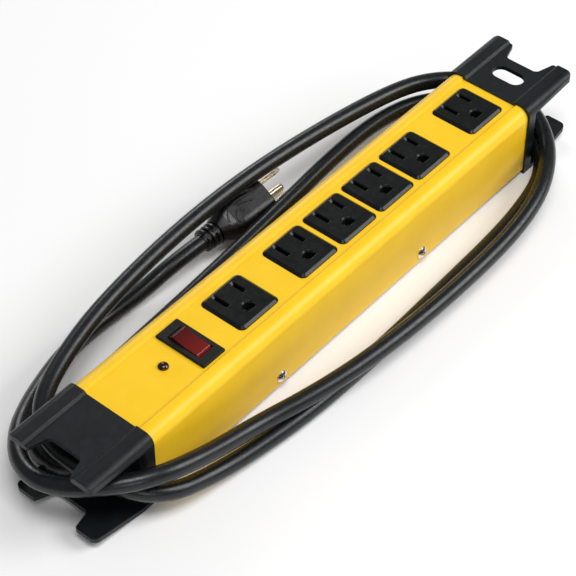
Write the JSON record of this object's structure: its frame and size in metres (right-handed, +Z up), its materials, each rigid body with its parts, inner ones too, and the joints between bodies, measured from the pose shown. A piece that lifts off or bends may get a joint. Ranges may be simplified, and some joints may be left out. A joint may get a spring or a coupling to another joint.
{
  "type": "power strip",
  "caption": "Yellow metal power strip with black receptacles, lit rocker switch, indicator, horned cord-wrap end caps and its own mains cord wound round them.",
  "frame": {"origin": "centre of the strip's footprint on the surface it lies on, at the undersides of the end caps", "axes": "+X along the strip toward the end cap with the hanging slot, +Y toward the side the plug lies on, +Z up out of the outlet faces"},
  "size_m": [0.3808, 0.1374, 0.0467],
  "materials": {
    "yellow_paint": "satin powder coat",
    "plate_steel": "zinc plated",
    "screw_chrome": "bright plated",
    "cap_black": "fine-grained satin",
    "outlet_black": "smooth satin",
    "contact_brass": "plain",
    "fibre_sheet": "matte",
    "board_green": "satin",
    "varistor_blue": "dipped gloss",
    "fuse_tan": "matte",
    "switch_black": "satin",
    "rocker_red": "tinted translucent, gloss",
    "plunger_white": "smooth",
    "lamp_glass": "clear",
    "indicator_red": "tinted translucent, gloss",
    "wire_black": "satin",
    "wire_white": "satin",
    "wire_green": "satin",
    "screw_green": "dyed",
    "cord_black": "satin",
    "blade_brass": "plain, slightly dulled",
    "pin_nickel": "nickel plated"
  },
  "bodies": {
    "strip": {"housing_cover": "yellow_paint", "base_plate": "plate_steel", "side_screws": "screw_chrome", "near_end_cap": "cap_black", "far_end_cap": "cap_black", "cap_screws": "screw_chrome", "outlet_1": "outlet_black", "outlet_2": "outlet_black", "outlet_3": "outlet_black", "outlet_4": "outlet_black", "outlet_5": "outlet_black", "outlet_6": "outlet_black", "neutral_bus": "contact_brass", "hot_bus": "contact_brass", "ground_bus": "contact_brass", "insulating_sheet": "fibre_sheet", "surge_board": "board_green", "varistors": "varistor_blue", "thermal_fuse": "fuse_tan", "switch_housing": "switch_black", "switch_terminals": "contact_brass", "indicator_lens": "indicator_red", "indicator_lamp": "lamp_glass", "hot_wires": "wire_black", "neutral_wire": "wire_white", "ground_wire": "wire_green", "ground_screw": "screw_green", "cord_relief": "cord_black", "cord": "cord_black", "plug_body": "cord_black", "plug_blades": "blade_brass", "plug_ground_pin": "pin_nickel", "plug_relief": "cord_black"},
    "rocker": {"switch_rocker": "rocker_red", "switch_plunger": "plunger_white", "switch_lamp": "lamp_glass"},
    "contact_arm": {"switch_contact_arm": "contact_brass"}
  },
  "joints": [
    {"name": "rocker_tilt", "type": "hinge", "parent": "strip", "child": "rocker", "pos_m": [-0.0924, 0, 0.0406], "axis": [1, 0, 0], "range_deg": [-14, 0]},
    {"name": "arm_tilt", "type": "hinge", "parent": "strip", "child": "contact_arm", "pos_m": [-0.0924, 0, 0.0303], "axis": [1, 0, 0], "range_deg": [0, 8]}
  ],
  "couplings": [
    {"joint": "arm_tilt", "follows": "rocker_tilt", "ratio": -0.57143}
  ]
}
